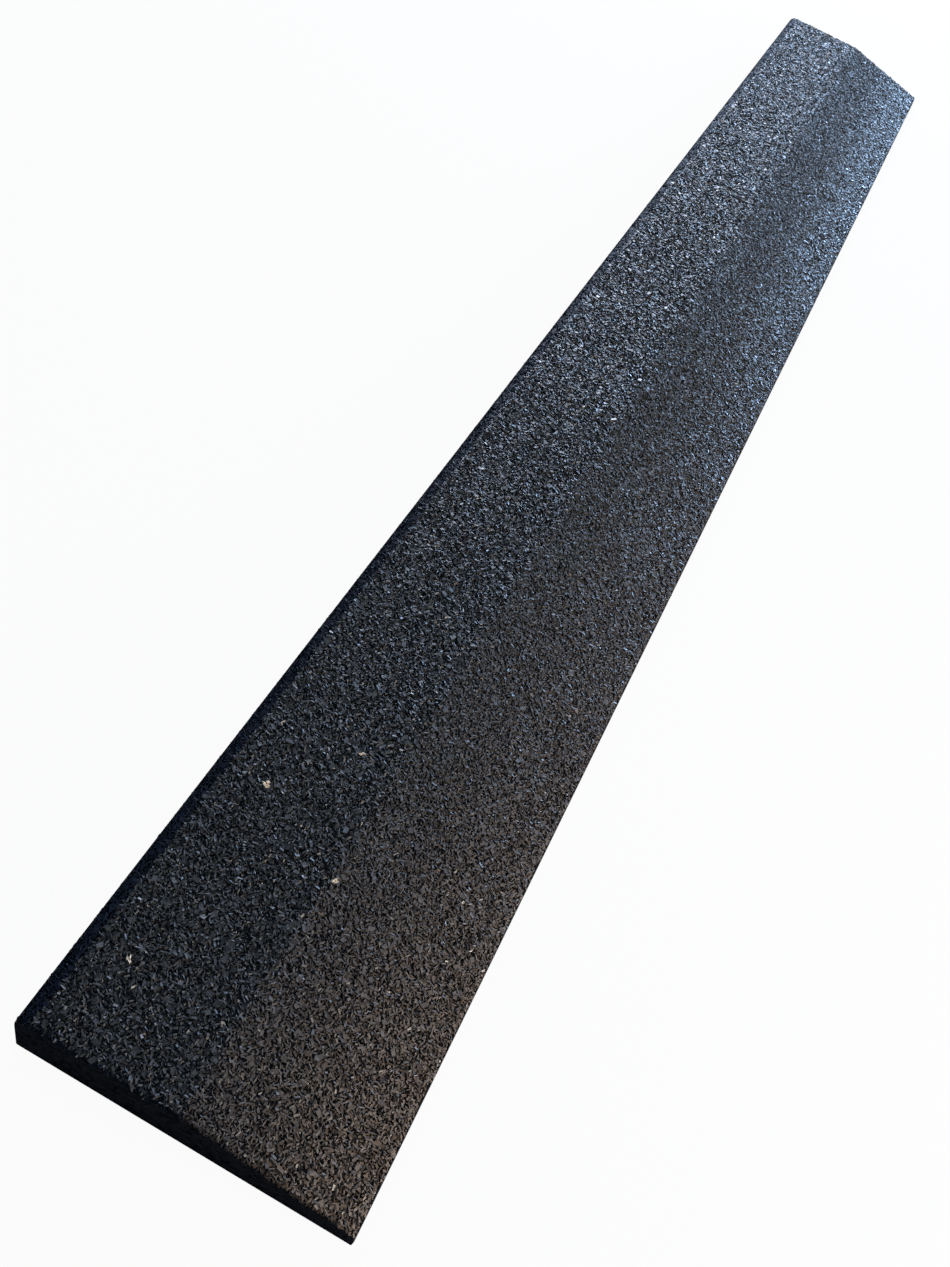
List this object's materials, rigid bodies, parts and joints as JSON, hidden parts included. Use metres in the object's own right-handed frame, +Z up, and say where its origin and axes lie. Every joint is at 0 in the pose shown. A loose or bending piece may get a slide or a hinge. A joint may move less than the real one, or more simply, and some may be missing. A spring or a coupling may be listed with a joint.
{
  "type": "edge ramp",
  "caption": "Long black rubber-crumb edge ramp with a flat tread that folds and slopes down to a thin front edge.",
  "frame": {"origin": "middle of the footprint, on the plane that the ramp lies on", "axes": "+X along the length, +Y towards the high back face, +Z up"},
  "size_m": [2, 0.25, 0.045],
  "materials": {
    "coarse_crumb": "matte bonded crumb with open pores",
    "wear_crumb": "matte bonded crumb with a faint grazing sheen"
  },
  "bodies": {
    "root": {"base_layer": "coarse_crumb", "wear_layer": "wear_crumb"}
  },
  "joints": []
}
